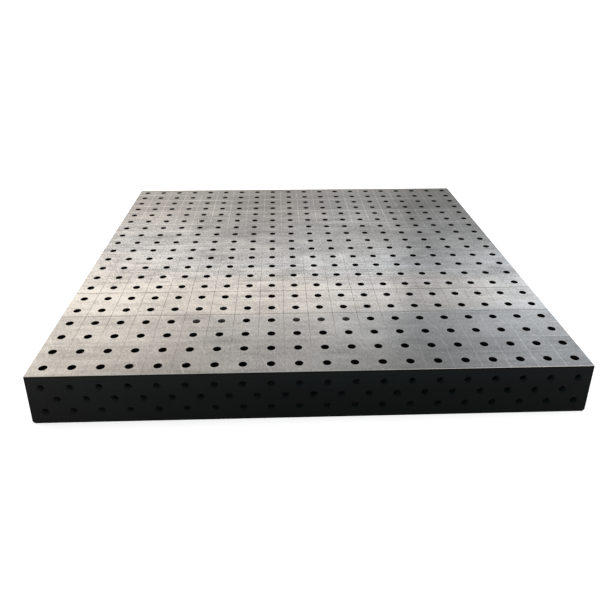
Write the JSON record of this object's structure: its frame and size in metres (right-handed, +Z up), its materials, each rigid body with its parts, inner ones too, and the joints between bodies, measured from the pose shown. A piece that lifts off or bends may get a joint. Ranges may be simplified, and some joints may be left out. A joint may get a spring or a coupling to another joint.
{
  "type": "welding table",
  "caption": "Body of a perforated welding table: a thick work plate with a square grid of clamping holes on drilled side plates, ribbed and open underneath.",
  "frame": {"origin": "on the floor under the middle of the table", "axes": "+Z up, +X to the right and -Y to the front, as seen by someone who stands at the front side"},
  "size_m": [2, 2, 0.2],
  "materials": {
    "ground_steel": "satin",
    "black_steel": "satin",
    "weld_metal": "satin"
  },
  "bodies": {
    "root": {"corner_weld_front_left": "weld_metal", "corner_weld_front_right": "weld_metal", "corner_weld_rear_left": "weld_metal", "corner_weld_rear_right": "weld_metal", "cross_rib_1": "black_steel", "cross_rib_1_weld_front": "weld_metal", "cross_rib_1_weld_rear": "weld_metal", "cross_rib_2": "black_steel", "cross_rib_2_weld_front": "weld_metal", "cross_rib_2_weld_rear": "weld_metal", "cross_rib_3": "black_steel", "cross_rib_3_weld_front": "weld_metal", "cross_rib_3_weld_rear": "weld_metal", "cross_rib_4": "black_steel", "cross_rib_4_weld_front": "weld_metal", "cross_rib_4_weld_rear": "weld_metal", "cross_rib_5": "black_steel", "cross_rib_5_weld_front": "weld_metal", "cross_rib_5_weld_rear": "weld_metal", "edge_weld_front": "weld_metal", "edge_weld_left": "weld_metal", "edge_weld_rear": "weld_metal", "edge_weld_right": "weld_metal", "front_side_plate": "black_steel", "left_side_plate": "black_steel", "leg_plate_centre": "black_steel", "leg_plate_centre_weld_cross": "weld_metal", "leg_plate_centre_weld_long": "weld_metal", "leg_plate_front_left": "black_steel", "leg_plate_front_left_weld_cross": "weld_metal", "leg_plate_front_left_weld_long": "weld_metal", "leg_plate_front_right": "black_steel", "leg_plate_front_right_weld_cross": "weld_metal", "leg_plate_front_right_weld_long": "weld_metal", "leg_plate_rear_left": "black_steel", "leg_plate_rear_left_weld_cross": "weld_metal", "leg_plate_rear_left_weld_long": "weld_metal", "leg_plate_rear_right": "black_steel", "leg_plate_rear_right_weld_cross": "weld_metal", "leg_plate_rear_right_weld_long": "weld_metal", "long_rib_1": "black_steel", "long_rib_1_weld_left": "weld_metal", "long_rib_1_weld_right": "weld_metal", "long_rib_2": "black_steel", "long_rib_2_weld_left": "weld_metal", "long_rib_2_weld_right": "weld_metal", "long_rib_3": "black_steel", "long_rib_3_weld_left": "weld_metal", "long_rib_3_weld_right": "weld_metal", "long_rib_4": "black_steel", "long_rib_4_weld_left": "weld_metal", "long_rib_4_weld_right": "weld_metal", "long_rib_5": "black_steel", "long_rib_5_weld_left": "weld_metal", "long_rib_5_weld_right": "weld_metal", "rear_side_plate": "black_steel", "right_side_plate": "black_steel", "work_plate": "ground_steel"}
  },
  "joints": []
}
